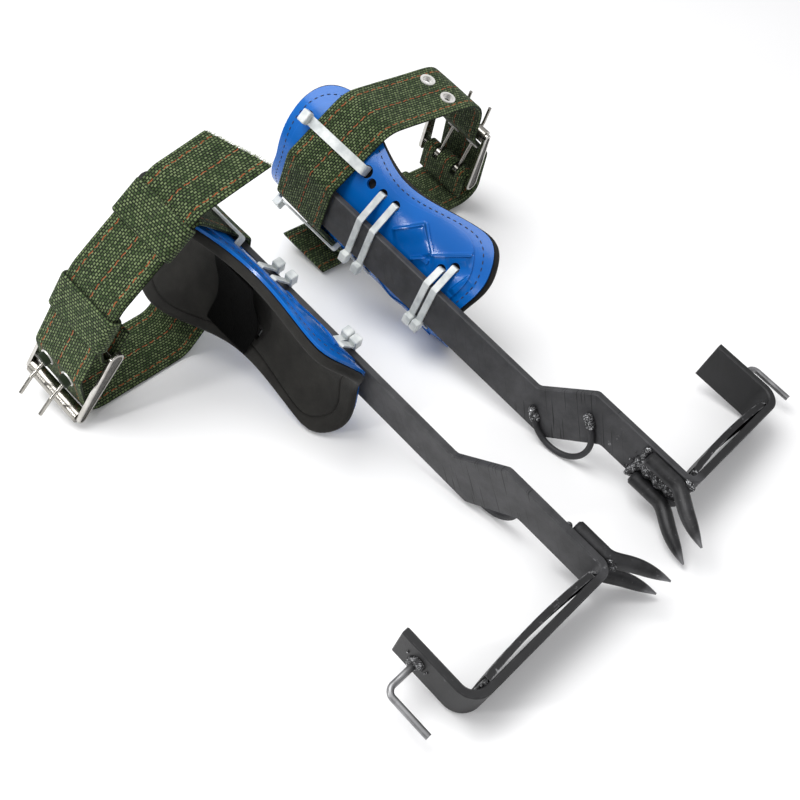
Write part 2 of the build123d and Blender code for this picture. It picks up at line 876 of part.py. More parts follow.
# Belt keepers: closed loops of webbing round both layers
def keeper(side, place, direction):
    """Loop round two layers, at a point between them and along the belt's heading."""
    inner_width = belt_width + 2 * keeper_gap
    inner_height = belt_thickness + layer_pitch + 2 * keeper_gap
    outer = RectangleRounded(
        inner_width + 2 * keeper_thickness,
        inner_height + 2 * keeper_thickness,
        keeper_round + keeper_thickness,
    )
    face = outer - RectangleRounded(inner_width, inner_height, keeper_round)
    y, z = step(place, direction, -keeper_width / 2)
    plane = Plane(
        origin=(belt_middle(side, y), y, z),
        x_dir=(1, 0, 0),
        z_dir=(0, direction[0], direction[1]),
    )
    lead = (-belt_lean[side] * direction[0], direction[0], direction[1])
    return extrude(plane * face, amount=keeper_width, dir=lead)


def keeper_places(side):
    """Places and heading of the fixed keeper and of the sliding one."""
    if side == "left":
        lines = left_lines()
        gap = unit(step(lines["knee"], lines["under_knee"], -1))
        between = step(lines["under_knee"], gap, layer_pitch / 2)
        fixed = (step(between, lines["over"], fixed_keeper_back + knee_along / 2), lines["over"])
        middle = step(lines["bend"], left_of(lines["run"]), layer_pitch / 2)
        return fixed, (step(middle, lines["run"], sliding_keeper_back), lines["run"])
    lines = right_lines()
    middle = step(lines["low"], left_of(lines["level"]), layer_pitch / 2)
    places = []
    for reach in (fixed_keeper_under, sliding_keeper_under):
        places.append((step(middle, lines["level"], reach), lines["level"]))
    return tuple(places)


# The pieces that both spikes share, and those that lie differently on each
def shared_pieces():
    return {
        "shank_stirrup": shank_and_stirrup(),
        "tread_strip": tread_strip(),
        "ankle_loop": ankle_loop(),
        "upper_gaff": gaff(gaff_middle),
        "lower_gaff": gaff(-gaff_middle),
        "shin_shell": shin_shell(),
        "shin_foam": shin_foam(),
        "elastic_band": elastic_band(),
        "front_belt_tie": belt_tie(belt_tie_angle),
        "rear_belt_tie": belt_tie(-belt_tie_angle),
    }


def own_pieces(side):
    fixed_place, sliding_place = keeper_places(side)
    low, high = prong_offsets()
    upper_ties = [bar_tie(height, arc_angle(vent_arc), side) for height in upper_tie_heights]
    lower_ties = [bar_tie(height, arc_angle(arc), side) for height, arc in lower_tie_holes]
    return {
        "strap_hook": strap_hook(side),
        "belt": webbing(side),
        "eyelets": eyelets(side),
        "buckle_frame": buckle_frame(side),
        "buckle_roller": buckle_roller(side),
        "low_prong": buckle_prong(side, low),
        "high_prong": buckle_prong(side, high),
        "fixed_keeper": keeper(side, *fixed_place),
        "sliding_keeper": keeper(side, *sliding_place),
        "upper_shin_ties": Compound(children=upper_ties),
        "lower_shin_ties": Compound(children=lower_ties),
    }


def lay_down(piece, side):
    """Place a piece as its spike lies beside the other one, the foot plate's end at X = 0."""
    turn = 1 if side == "left" else -1
    if side == "right":
        piece = mirror(piece, about=Plane.XZ)
    pose = Pos(0, -turn * pair_gap / 2, 0) * Rot(Y=pitch_angle) * Rot(X=turn * roll_angle)
    return pose * Rot(Z=180) * piece


def lying_pair():
    shared = shared_pieces()
    nodes = {}
    for side in ("left", "right"):
        pieces = {**shared, **own_pieces(side)}
        steel = ("shank_stirrup", "strap_hook", "ankle_loop", "upper_gaff", "lower_gaff")
        pieces["weld_beads"] = weld_beads(side, [pieces[name] for name in steel])
        for name, piece in pieces.items():
            nodes[side + "_" + name] = lay_down(piece, side)
    boxes = [piece.bounding_box() for piece in nodes.values()]
    middle_x = (min(box.min.X for box in boxes) + max(box.max.X for box in boxes)) / 2
    middle_y = (min(box.min.Y for box in boxes) + max(box.max.Y for box in boxes)) / 2
    to_table = Pos(-middle_x, -middle_y, -min(box.min.Z for box in boxes))
    return {name: to_table * piece for name, piece in nodes.items()}, to_table


if __name__ == "__main__":
    os.makedirs("parts", exist_ok=True)
    pair, to_table = lying_pair()
    for name, piece in pair.items():
        export_step(piece, os.path.join("parts", name + ".step"))
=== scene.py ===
import math
import bmesh
import bpy
import numpy as np
from mathutils import Matrix, Vector


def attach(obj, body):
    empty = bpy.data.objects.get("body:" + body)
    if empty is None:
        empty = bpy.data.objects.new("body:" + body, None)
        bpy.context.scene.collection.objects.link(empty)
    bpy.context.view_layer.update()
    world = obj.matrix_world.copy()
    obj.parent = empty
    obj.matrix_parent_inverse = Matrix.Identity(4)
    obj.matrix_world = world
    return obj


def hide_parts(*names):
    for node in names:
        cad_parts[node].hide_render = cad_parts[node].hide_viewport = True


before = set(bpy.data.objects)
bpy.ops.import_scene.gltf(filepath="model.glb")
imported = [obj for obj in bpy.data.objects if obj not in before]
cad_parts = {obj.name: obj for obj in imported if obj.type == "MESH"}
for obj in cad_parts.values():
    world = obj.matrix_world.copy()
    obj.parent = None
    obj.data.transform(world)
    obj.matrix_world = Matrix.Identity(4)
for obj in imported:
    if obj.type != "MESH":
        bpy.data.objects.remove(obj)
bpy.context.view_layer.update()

sides = ("left", "right")


# Shank, foot plate and upright of each spike: one flat steel bar, cut with an offset in its
# plane and bent round the foot. It is powder coated in matte charcoal with a fine grain, dark
# strokes across the offset, a few pale scuffs and worn edges. Its foot plate and upright are
# darkened with painted shade.
per_metre = 1000.0
bar_width = 30.0
lying_pitch = math.radians(15.9)
lying_roll = math.radians(4.85)
foot_shade_start = (7.0, 14.0)
offset_start, offset_end = (48.0, 62.0), (112.0, 126.0)
scratch_way = (0.572, 0.82)
scratch_wide, scratch_long = 1.5, 42.0
edge_wear_and_highlight = 0.0012
coat_relief = 0.00012


def spike_axes(side):
    """Directions up the shank, towards the foot and across the bar, and the bar's corner."""
    turn = 1 if side == "left" else -1
    pose = Matrix.Rotation(lying_pitch, 3, "Y") @ Matrix.Rotation(turn * lying_roll, 3, "X")
    axes = np.array(pose @ Matrix.Rotation(math.pi, 3, "Z"))
    axes[:, 1] *= turn
    bar = np.array([v.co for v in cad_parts[side + "_shank_stirrup"].data.vertices])
    seen = bar @ axes * per_metre
    corner = (seen[:, 0].min(), seen[:, 1].min(), seen[:, 2].max() - bar_width / 2)
    return axes, np.array(corner)


spike_frames = {side: spike_axes(side) for side in sides}


class Wire:
    """A socket in a material, with the arithmetic that adds its Math nodes."""

    def __init__(self, tree, socket=None):
        self.tree = tree
        self.socket = socket

    def node(self, kind, settings=None, sockets=None, out=0):
        made = self.tree.nodes.new("ShaderNode" + kind)
        for name, value in (settings or {}).items():
            setattr(made, name, value)
        for key, value in (sockets or {}).items():
            if isinstance(value, Wire):
                self.tree.links.new(value.socket, made.inputs[key])
            else:
                made.inputs[key].default_value = value
        return Wire(self.tree, made.outputs[out] if made.outputs else None)

    def math(self, operation, first, second=0.0):
        return self.node("Math", {"operation": operation}, {0: first, 1: second})

    def __add__(self, other):
        return self.math("ADD", self, other)

    def __radd__(self, other):
        return self.math("ADD", other, self)

    def __sub__(self, other):
        return self.math("SUBTRACT", self, other)

    def __rsub__(self, other):
        return self.math("SUBTRACT", other, self)

    def __mul__(self, other):
        return self.math("MULTIPLY", self, other)

    def __rmul__(self, other):
        return self.math("MULTIPLY", other, self)

    def __truediv__(self, other):
        return self.math("DIVIDE", self, other)

    def __abs__(self):
        return self.math("ABSOLUTE", self)

    def between(self, low, high):
        """0 below low and 1 above high, with a soft step between them."""
        ends = {"Value": self, "From Min": low, "From Max": high}
        return self.node("MapRange", {"interpolation_type": "SMOOTHSTEP"}, ends)

    def tint(self, clear, full):
        """From one colour at 0 to another at 1."""
        return self.node("Mix", {"data_type": "RGBA"}, {0: self, 6: clear, 7: full}, 2)


def colour(red, green, blue):
    """A colour as a paint chart gives it, 0 to 255, in the shader's linear values."""
    linear = []
    for value in (red / 255, green / 255, blue / 255):
        linear.append(value / 12.92 if value <= 0.04045 else ((value + 0.055) / 1.055) ** 2.4)
    return (*linear, 1.0)


def new_finish(name):
    material = bpy.data.materials.new(name)
    material.use_nodes = True
    material.node_tree.nodes.clear()
    return material, Wire(material.node_tree)


def close_finish(wire, sockets, height=None, depth=0.0):
    """Ends a material in its shader, with a relief that is depth metres high."""
    if height is not None:
        bump = {"Height": height, "Distance": depth, "Strength": 1.0}
        sockets = {**sockets, "Normal": wire.node("Bump", None, bump)}
    shader = wire.node("BsdfPrincipled", None, sockets)
    wire.node("OutputMaterial", None, {"Surface": shader})


def grain(wire, place, scale, detail=2.0, rough=0.5):
    """Noise of a given number of cells to the metre."""
    sockets = {"Vector": place, "Scale": scale, "Detail": detail, "Roughness": rough}
    return wire.node("TexNoise", None, sockets)


def wear_and_highlight_edges(wire, width):
    """1 on the edges of a piece, 0 on its flats."""
    rounded = wire.node("Bevel", {"samples": 6}, {"Radius": width})
    flat = wire.node("NewGeometry", None, None, "Normal")
    facing = wire.node("VectorMath", {"operation": "DOT_PRODUCT"}, {0: rounded, 1: flat}, "Value")
    return 1 - facing.between(0.80, 0.985)


def put_on(material, *nodes):
    """Gives CAD nodes a finish."""
    for name in nodes:
        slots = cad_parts[name].data.materials
        slots.clear()
        slots.append(material)


def along_spike(wire, side, axis):
    """Distance in millimetres along one of a spike's own directions."""
    axes, corner = spike_frames[side]
    place = wire.node("TexCoord", None, None, "Object")
    ends = {0: place, 1: tuple(axes[:, axis])}
    reach = wire.node("VectorMath", {"operation": "DOT_PRODUCT"}, ends, "Value")
    return reach * per_metre - float(corner[axis])


def powder_coat(name, dark, pale, bare, rubbed, side=None):
    """Matte coat, a share of it rubbed. A side's bar also has its strokes, and painted shade that
    darkens its foot plate and upright.
    """
    material, wire = new_finish(name)
    place = wire.node("TexCoord", None, None, "Object")
    speckle = grain(wire, place, 2400.0)
    mottle = grain(wire, place, 70.0, 4.0, 0.6)
    base = (mottle * 0.75 + speckle * 0.25).between(0.25, 0.75).tint(dark, pale)
    height = speckle * 0.6 + mottle * 0.3
    if side:
        up, foot, over = (along_spike(wire, side, axis) for axis in (0, 1, 2))
        drawn = wire.node("CombineXYZ", None, {
            0: (up * scratch_way[1] - over * scratch_way[0]) / scratch_wide,
            1: (up * scratch_way[0] + over * scratch_way[1]) / scratch_long,
            2: foot / scratch_long})
        bent = up.between(*offset_start) * (1 - up.between(*offset_end))
        scratch = grain(wire, drawn, 1.0, 1.0).between(0.63, 0.68) * (0.2 + 0.8 * bent)
        base = (scratch * 0.95).tint(base, colour(14, 14, 15))
        # Painted shade: past the shank, the foot plate and the upright are darkened.
        base = (foot.between(*foot_shade_start) * 0.8).tint(base, colour(16, 16, 17))
        height = height - scratch * 0.4
    scuff_spots = grain(wire, place, 240.0, 5.0, 0.7).between(0.60, 0.72)
    scuffs = scuff_spots * grain(wire, place, 28.0).between(0.72 - rubbed, 0.86 - rubbed)
    edge = wear_and_highlight_edges(wire, edge_wear_and_highlight) * grain(wire, place, 190.0, 4.0).between(0.42, 0.66)
    base = (scuffs * 0.75).tint(base, colour(150, 150, 152))
    base = (edge * 0.6).tint(base, bare)
    rough = 0.5 + 0.14 * speckle - 0.12 * edge - 0.18 * scuffs
    close_finish(wire, {"Base Color": base, "Roughness": rough, "Metallic": 0.1 + 0.4 * edge},
                 height, coat_relief)
    return material


for side in sides:
    bar_coat = powder_coat(side + "_powder_coat", colour(38, 38, 40), colour(66, 66, 68),
                           colour(112, 112, 114), 0.12, side)
    put_on(bar_coat, side + "_shank_stirrup")


# Tread strip: a second strip of flat steel, bowed a little and welded on the foot plate at
# its two ends. It has the bar's charcoal coat, rubbed paler and smoother by the boot's sole.
tread_coat = powder_coat(
    "tread_coat", colour(10, 10, 11), colour(32, 32, 34), colour(170, 170, 172), 0.42)
put_on(tread_coat, "left_tread_strip", "right_tread_strip")


# Ankle loop: round steel rod bent to a half ring, whose two legs are welded on the bar's
# outer face in the notch of its offset. It carries the lower strap and has the bar's coat.
loop_coat = powder_coat(
    "loop_coat", colour(28, 28, 30), colour(50, 50, 53), colour(104, 104, 106), 0.15)
put_on(loop_coat, "left_ankle_loop", "right_ankle_loop")


# Strap hook: round steel rod bent to a right angle and butt welded on the upright. The rod is
# left bare and shows drawn grey steel, with the coat's black overspray near the weld.
hook_root = 115.0
overspray = (2.0, 12.0)

for side in sides:
    rod_finish, wire = new_finish(side + "_hook_steel")
    place = wire.node("TexCoord", None, None, "Object")
    streak = grain(wire, place, 900.0, 3.0)
    patch = grain(wire, place, 90.0, 3.0)
    reach = along_spike(wire, side, 1) - hook_root + patch * 6.0 - 3.0
    bare = reach.between(*overspray)
    steel = patch.between(0.3, 0.7).tint(colour(122, 122, 123), colour(158, 158, 159))
    steel = (streak.between(0.62, 0.75) * 0.4).tint(steel, colour(84, 81, 78))
    base = bare.tint(colour(34, 34, 36), steel)
    close_finish(wire, {"Base Color": base, "Roughness": 0.5 - 0.12 * bare + 0.06 * streak,
                        "Metallic": 0.1 + 0.8 * bare}, streak * 0.3 + patch * 0.7, 0.00004)
    put_on(rod_finish, side + "_strap_hook")


# Gaffs: two claws on each spike, forged from round bar to a curved point and welded side by
# side on the bar's outer face. The coat covers them, and only the points are worn bright.
claw_point = -26.0
claw_worn = 9.0
for side in sides:
    gaff_finish, wire = new_finish(side + "_gaff_steel")
    place = wire.node("TexCoord", None, None, "Object")
    speckle = grain(wire, place, 2000.0)
    patch = grain(wire, place, 150.0, 4.0, 0.65)
    above_point = along_spike(wire, side, 0) - claw_point
    worn = 1 - (above_point + patch * 8.0 - 4.0).between(1.0, claw_worn)
    rub = grain(wire, place, 420.0, 5.0, 0.7).between(0.6, 0.72)
    coat = patch.between(0.3, 0.72).tint(colour(18, 18, 19), colour(40, 40, 42))
    coat = (rub * 0.45).tint(coat, colour(112, 112, 114))
    base = (worn * 0.75).tint(coat, colour(138, 138, 140))
    close_finish(wire, {"Base Color": base, "Roughness": 0.4 + 0.12 * speckle - 0.1 * worn,
                        "Metallic": 0.15 + 0.6 * worn}, speckle * 0.5 + patch * 0.5, 0.00015)
    put_on(gaff_finish, side + "_upper_gaff", side + "_lower_gaff")


# Weld beads: arc welds that hold the gaffs, the loop's legs, the hook and the tread strip.
# Each is a lumpy heap of overlapping ripples with drops of spatter round it, sparkling
# through a thin film of the coat. A run has its ends, facing, half width, rise and drops.
weld_sizes = {
    "between_gaffs": ((31.5, 0.6, 0.0), (6.5, 0.6, 0.0), (0, -1, 0), 6.4, 5.0, 16),
    "lower_gaff_root": ((35.0, -0.4, -13.4), (33.4, -0.6, -3.0), (0, -1, 0), 2.9, 3.0, 8),
    "upper_gaff_root": ((33.6, -0.6, 3.0), (34.6, -0.4, 11.5), (0, -1, 0), 2.3, 2.2, 4),
    "upper_gaff_bend": ((4.5, -0.2, 14.0), (1.8, -0.2, 12.6), (0, -1, 0), 2.6, 2.4, 3),
    "loop_first_leg": ((70.8, -1.0, -6.8), (74.6, -1.0, -3.0), (0, -1, 0), 3.3, 3.3, 0),
    "loop_second_leg": ((102.0, -1.0, -36.4), (105.8, -1.0, -32.6), (0, -1, 0), 3.3, 3.3, 0),
    "tread_inner_end": ((6.0, 11.0, -13.0), (6.0, 11.0, 13.0), (1, -1, 0), 1.9, 2.0, 0),
    "tread_outer_end": ((6.0, 99.0, -13.0), (6.0, 99.0, 13.0), (1, 1, 0), 1.9, 2.0, 0),
}
hook_heights = {"left": 38.0, "right": 29.0}
ripple_pitch = 2.1
bead_step, bead_around, bead_lumps = 0.4, 20, 5
drop_rings, drop_around, drop_cap = 5, 8, 0.25


def in_row(side, points):
    """Points in a spike's own millimetres as points of the row, in metres."""
    axes, corner = spike_frames[side]
    return (np.asarray(points, float) + corner) @ axes.T / per_metre


def make_piece(name, side, points, faces, material, flat=None):
    """A mesh in a spike's own frame. flat gives each point its place on the flat cloth."""
    mesh = bpy.data.meshes.new(name)
    mesh.from_pydata([tuple(p) for p in in_row(side, points)], [], faces)
    if flat is not None:
        layer = mesh.uv_layers.new(name="flat")
        for loop in mesh.loops:
            layer.data[loop.index].uv = flat[loop.vertex_index]
    build = bmesh.new()
    build.from_mesh(mesh)
    bmesh.ops.recalc_face_normals(build, faces=build.faces)
    build.to_mesh(mesh)
    build.free()
    mesh.shade_smooth()
    mesh.materials.append(material)
    piece = bpy.data.objects.new(name, mesh)
    bpy.context.scene.collection.objects.link(piece)
    return piece


def unit(vector):
    vector = np.asarray(vector, float)
    return vector / np.linalg.norm(vector)


def tube_faces(rings, around, first=0, closed=False):
    """Quads between rings of points, with the ends capped or the last ring joined to the first."""
    faces = []
    for ring in range(rings if closed else rings - 1):
        for spot in range(around):
            here = first + ring * around
            there = first + (ring + 1) % rings * around
            beside = (spot + 1) % around
            faces.append((here + spot, here + beside, there + beside, there + spot))
    if not closed:
        faces.append(tuple(range(first, first + around)))
        faces.append(tuple(range(first + (rings - 1) * around, first + rings * around)))
    return faces


def weld_run(start, end, facing, half_width, rise, drops, seed):
    """Points and faces of a bead, rippled where each pool froze over the last, and spatter."""
    start, end = np.array(start, float), np.array(end, float)
    along = unit(end - start)
    length = np.linalg.norm(end - start)
    upward = unit(np.array(facing, float) - along * np.dot(facing, along))
    aside = np.cross(along, upward)
    rings = max(14, int((length + 2 * half_width) / bead_step))
    noise = np.random.default_rng(seed)
    lumps = [(noise.uniform(0.25, 0.9), noise.integers(1, 4), noise.uniform(0, 6.3))
             for _ in range(bead_lumps)]
    points = []
    for ring in range(rings):
        reach = -half_width + (length + 2 * half_width) * ring / (rings - 1)
        over = max(0.0, -reach, reach - length) / half_width
        swell = math.sqrt(max(0.02, 1 - over ** 2))
        for spot in range(bead_around):
            angle = 2 * math.pi * spot / bead_around
            crest = (reach + 0.55 * half_width * math.cos(angle)) / ripple_pitch % 1.0
            lump = sum(math.sin(pace * reach + times * angle + phase)
                       for pace, times, phase in lumps)
            wave = 1 + 0.12 * (crest - 0.5) + 0.055 * lump + noise.normal(0, 0.02)
            stand = max(math.cos(angle), -0.15)
            points.append(start + along * reach + swell * wave * (
                aside * half_width * math.sin(angle) + upward * rise * stand))
    faces = tube_faces(rings, bead_around)
    for _ in range(drops):
        size = noise.uniform(0.35, 0.95)
        middle = start + along * noise.uniform(0, length)
        middle = middle + aside * noise.choice((-1, 1)) * (half_width + noise.uniform(0.2, 3.5))
        middle = middle - upward * np.dot(middle - start, upward)
        first = len(points)
        for turn in np.linspace(drop_cap, math.pi - drop_cap, drop_rings):
            for spot in range(drop_around):
                angle = 2 * math.pi * spot / drop_around
                points.append(middle + size * (upward * math.cos(turn) + math.sin(turn) * (
                    along * math.cos(angle) + aside * math.sin(angle))))
        faces += tube_faces(drop_rings, drop_around, first)
    return points, faces


weld_finish, wire = new_finish("weld_metal")
place = wire.node("TexCoord", None, None, "Object")
spatter = grain(wire, place, 1300.0, 4.0, 0.7)
film = grain(wire, place, 320.0, 4.0, 0.65)
bright = spatter.between(0.48, 0.62) * film.between(0.4, 0.62)
base = bright.tint(colour(26, 26, 28), colour(232, 233, 235))
close_finish(wire, {"Base Color": base, "Roughness": 0.44 - 0.2 * bright,
                    "Metallic": 0.3 + 0.6 * bright}, spatter, 0.0004)

for side in sides:
    runs = dict(weld_sizes)
    height = hook_heights[side]
    runs["hook_root"] = ((height + 1.0, hook_root + 0.4, -4.0),
                         (height - 1.0, hook_root + 0.4, 4.0), (0, 1, 0), 4.2, 3.0, 6)
    points, faces = [], []
    for seed, run in enumerate(runs.values()):
        bead, bead_faces = weld_run(*run, seed)
        faces += [tuple(corner + len(points) for corner in face) for face in bead_faces]
        points += bead
    beads = make_piece(side + "_welds", side, points, faces, weld_finish)
    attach(beads, side + "_spike")
    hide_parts(side + "_weld_beads")


# Shin shell: glossy blue plastic, injection moulded with a raised field, a zigzag relief and
# vent holes. A line of dark thread sews its rim to the lining. A relief line has its two ends
# (height, arc) and the width over which it fades.
shin_axis = (66.2, -32.0)
guard_middle = 275.0
shell_radius = 60.0
guard_top, guard_bottom, guard_waist, guard_lobe = 366.0, 184.0, 272.0, 18.8
top_half, waist_half, foot_half, rear_foot_half = 70.0, 50.0, 60.0, 53.5
edge_fineness = 40
relief_lines = (
    ((256.0, 22.0), (240.0, 39.0), 14.0), ((240.0, 39.0), (223.0, 27.0), 16.0),
    ((223.0, 27.0), (202.0, 44.0), 14.0), ((234.0, 15.0), (226.0, 22.0), 7.0),
    ((214.0, 33.0), (203.0, 42.0), 8.0), ((199.0, 18.0), (195.0, 33.0), 9.0),
    ((330.0, 22.0), (318.0, 46.0), 16.0), ((350.0, 12.0), (346.0, 40.0), 12.0),
)
relief_depth = 0.0018
relief_end, relief_flank = 2.0, 0.7
rim_stitch_inset = 5.0
rim_stitch_length = 2.6
rim_stitch_step = 4.6
rim_stitch_half, rim_stitch_rise = 0.42, 0.3
stitch_profile = ((-1.0, 0.35), (-0.7, 0.9), (0.0, 1.0), (0.7, 0.9), (1.0, 0.35))
stitch_around = 6


def guard_edge(border, count):
    """Points (height, arc) evenly along the guard's outline, grown by a border."""
    top, bottom, lobe = guard_top + border, guard_bottom - border, guard_lobe
    knots = [(top - lobe / 5, 0.0)]
    front = [(top, 0.5), (top - lobe / 4, 0.84), (top - lobe, 1.0)]
    knots += [(height, share * (top_half + border)) for height, share in front]
    knots.append((guard_waist, waist_half + border))
    foot = [(bottom + 1.5 * lobe, 1.0), (bottom + lobe / 2, 0.93), (bottom, 0.66)]
    knots += [(height, share * (foot_half + border)) for height, share in foot]
    knots.append((bottom + lobe / 5, 0.0))
    knots += [(height, -share * (rear_foot_half + border)) for height, share in foot[::-1]]
    knots.append((guard_waist, -(waist_half + border)))
    knots += [(height, -share * (top_half + border)) for height, share in front[::-1]]
    seen = np.array([(height, shell_radius * math.sin(arc / shell_radius))
                     for height, arc in knots])
    loop = np.vstack([seen, seen[:1]])
    spans = np.linalg.norm(np.diff(loop, axis=0), axis=1)
    size = len(seen)
    system, wanted = np.zeros((size, size)), np.zeros((size, 2))
    for index in range(size):
        before, after = spans[index - 1], spans[index]
        system[index, index - 1] = after
        system[index, index] = 2 * (before + after)
        system[index, (index + 1) % size] = before
        rise = (loop[index + 1] - loop[index]) / after
        fall = (loop[index] - loop[index - 1 if index else size - 1]) / before
        wanted[index] = 3 * (after * fall + before * rise)
    slopes = np.linalg.solve(system, wanted)
    slopes = np.vstack([slopes, slopes[:1]])
    fine = []
    for index in range(size):
        for share in np.linspace(0, 1, edge_fineness, endpoint=False):
            two, three = share ** 2, share ** 3
            fine.append((2 * three - 3 * two + 1) * loop[index]
                        + (three - 2 * two + share) * spans[index] * slopes[index]
                        + (3 * two - 2 * three) * loop[index + 1]
                        + (three - two) * spans[index] * slopes[index + 1])
    fine = np.array(fine)
    arcs = shell_radius * np.arcsin(np.clip(fine[:, 1] / shell_radius, -0.9999, 0.9999))
    edge = np.column_stack([fine[:, 0], arcs])
    edge = np.vstack([edge, edge[:1]])
    lengths = np.concatenate([[0], np.cumsum(np.linalg.norm(np.diff(edge, axis=0), axis=1))])
    even = np.linspace(0, lengths[-1], count, endpoint=False)
    spots = np.column_stack([np.interp(even, lengths, edge[:, axis]) for axis in (0, 1)])
    return spots, lengths[-1]


def on_guard(height, arc, radius):
    """A point of the guard at a height, an arc measured on the shell, and a radius."""
    angle = arc / shell_radius
    return (height, shin_axis[0] - radius * math.cos(angle),
            shin_axis[1] + radius * math.sin(angle))


for side in sides:
    shell_finish, wire = new_finish(side + "_shell_plastic")
    place = wire.node("TexCoord", None, None, "Object")
    flow = grain(wire, place, 14.0, 3.0)
    haze = grain(wire, place, 420.0, 3.0, 0.6)
    hair = grain(wire, place, 90.0, 6.0, 0.75).between(0.68, 0.76)
    height = along_spike(wire, side, 0)
    out_way = shin_axis[0] - along_spike(wire, side, 1)
    cross_way = along_spike(wire, side, 2) - shin_axis[1]
    arc = abs(wire.math("ARCTAN2", cross_way, out_way)) * shell_radius
    relief = 0.0
    for start, end, fade in relief_lines:
        length = math.dist(start, end)
        up, over = (end[0] - start[0]) / length, (end[1] - start[1]) / length
        along = (height - start[0]) * up + (arc - start[1]) * over
        aside = (arc - start[1]) * up - (height - start[0]) * over
        begun = along.between(-relief_end, relief_end)
        ended = along.between(length - relief_end, length + relief_end)
        flank = aside.between(-relief_flank, relief_flank) * (1 - aside.between(0.0, fade))
        relief = relief + flank * (begun * (1 - ended))
    base = flow.between(0.3, 0.7).tint(colour(0, 86, 164), colour(3, 99, 184))
    # Painted highlight: the shell's edges are tinted a lighter blue.
    base = (wear_and_highlight_edges(wire, edge_wear_and_highlight) * 0.3).tint(base, colour(52, 124, 214))
    base = (hair * 0.12).tint(base, colour(90, 140, 215))
    close_finish(wire, {"Base Color": base, "Roughness": 0.17 + 0.05 * haze + 0.12 * hair,
                        "Specular IOR Level": 0.34}, relief, relief_depth)
    put_on(shell_finish, side + "_shin_shell")

thread_finish, wire = new_finish("dark_thread")
place = wire.node("TexCoord", None, None, "Object")
twist = wire.node("TexWave", {"bands_direction": "DIAGONAL"}, {"Vector": place, "Scale": 900.0}, 1)
base = twist.tint(colour(6, 14, 34), colour(20, 34, 66))
close_finish(wire, {"Base Color": base, "Roughness": 0.85, "Sheen Weight": 0.2}, twist, 0.0001)


def sewn_line(spots, radius, length, half_width, rise):
    """Points and faces of short stitches on the guard, at spots (height, arc, heading)."""
    points, faces = [], []
    for height, arc, heading in spots:
        along = (math.cos(heading), math.sin(heading))
        first = len(points)
        for share, swell in stitch_profile:
            reach = share * length / 2
            for spot in range(stitch_around):
                angle = 2 * math.pi * spot / stitch_around
                aside = half_width * swell * math.sin(angle)
                points.append(on_guard(height + along[0] * reach - along[1] * aside,
                                       arc + along[1] * reach + along[0] * aside,
                                       radius + rise * swell * math.cos(angle)))
        faces += tube_faces(len(stitch_profile), stitch_around, first)
    return points, faces


def edge_spots(border, stitch_step):
    """Where the stitches of a line along the guard's outline lie."""
    count = int(guard_edge(border, 8)[1] / stitch_step)
    edge = guard_edge(border, count)[0]
    ahead = np.roll(edge, -1, axis=0) - np.roll(edge, 1, axis=0)
    return [(h, a, math.atan2(da, dh)) for (h, a), (dh, da) in zip(edge, ahead)]


for side in sides:
    points, faces = sewn_line(edge_spots(-rim_stitch_inset, rim_stitch_step),
                              shell_radius, rim_stitch_length, rim_stitch_half, rim_stitch_rise)
    sewing = make_piece(side + "_rim_stitches", side, points, faces, thread_finish)
    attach(sewing, side + "_spike")


# Shin lining: a pad of black foam, a little larger than the shell, cut from sheet with a soft
# rolled edge. A pressed crease runs inside the edge, and four slots are cut for the ties.
lining_border = 2.5
lining_outside = 57.8
lining_inside = 51.3
crease_inset = 11.5
crease_depth = 1.3
crease_width = 0.55
edge_roll = 3.0
edge_count = 260
lining_tuck, tuck_start, tuck_run = 1.4, 2.3, 3.0
lining_steps = (0.0, 0.3, 0.8, 1.5, 2.3, 3.2, 5.5, 8.5, 10.2, 10.9, 11.3, 11.7, 12.1, 12.8,
                14.5, 18.0)
field_depth = 30.0
field_shares = (0.86, 0.72, 0.58, 0.44, 0.3, 0.15)
tie_slots = ((264.0, 29.0), (276.0, 29.0), (264.0, -29.0), (276.0, -29.0))
tie_slot_half = (1.7, 4.4)
cutter_half, cutter_around = 6.0, 28
joined_gap = 0.00002


def cut_through(piece, cutters):
    """Cuts holes in a mesh."""
    for cutter in cutters:
        cut = piece.modifiers.new("hole", "BOOLEAN")
        cut.operation = "DIFFERENCE"
        cut.solver = "EXACT"
        cut.object = cutter
    bpy.context.view_layer.update()
    seen = piece.evaluated_get(bpy.context.evaluated_depsgraph_get())
    mesh = bpy.data.meshes.new_from_object(seen)
    piece.modifiers.clear()
    piece.data = mesh
    for cutter in cutters:
        bpy.data.objects.remove(cutter)


def hole_cutter(side, place, axis, half_sizes):
    """A cutting bar along an axis (towards the foot, across), round by one half size or a box."""
    axis = unit((0.0, axis[0], axis[1]))
    up = np.array([1.0, 0.0, 0.0])
    aside = np.cross(axis, up)
    points = []
    for end in (-cutter_half, cutter_half):
        if len(half_sizes) == 1:
            for spot in range(cutter_around):
                angle = 2 * math.pi * spot / cutter_around
                points.append(np.array(place) + axis * end + half_sizes[0] * (
                    up * math.cos(angle) + aside * math.sin(angle)))
        else:
            for a, b in ((-1, -1), (-1, 1), (1, 1), (1, -1)):
                points.append(np.array(place) + axis * end + up * a * half_sizes[0]
                              + aside * b * half_sizes[1])
    return make_piece("cutter", side, points, tube_faces(2, len(points) // 2), thread_finish)


foam_finish, wire = new_finish("pad_foam")
place = wire.node("TexCoord", None, None, "Object")
cells = wire.node("TexVoronoi", {"feature": "F1"}, {"Vector": place, "Scale": 1500.0})
dust = grain(wire, place, 55.0, 4.0, 0.6)
fuzz = grain(wire, place, 3000.0)
base = (dust * 0.7 + fuzz * 0.3).between(0.28, 0.74).tint(colour(20, 19, 17), colour(38, 37, 34))
close_finish(wire, {"Base Color": base, "Roughness": 0.78 + 0.1 * fuzz, "Specular IOR Level": 0.3,
                    "Sheen Weight": 0.04}, cells * 0.6 + fuzz * 0.4, 0.00012)

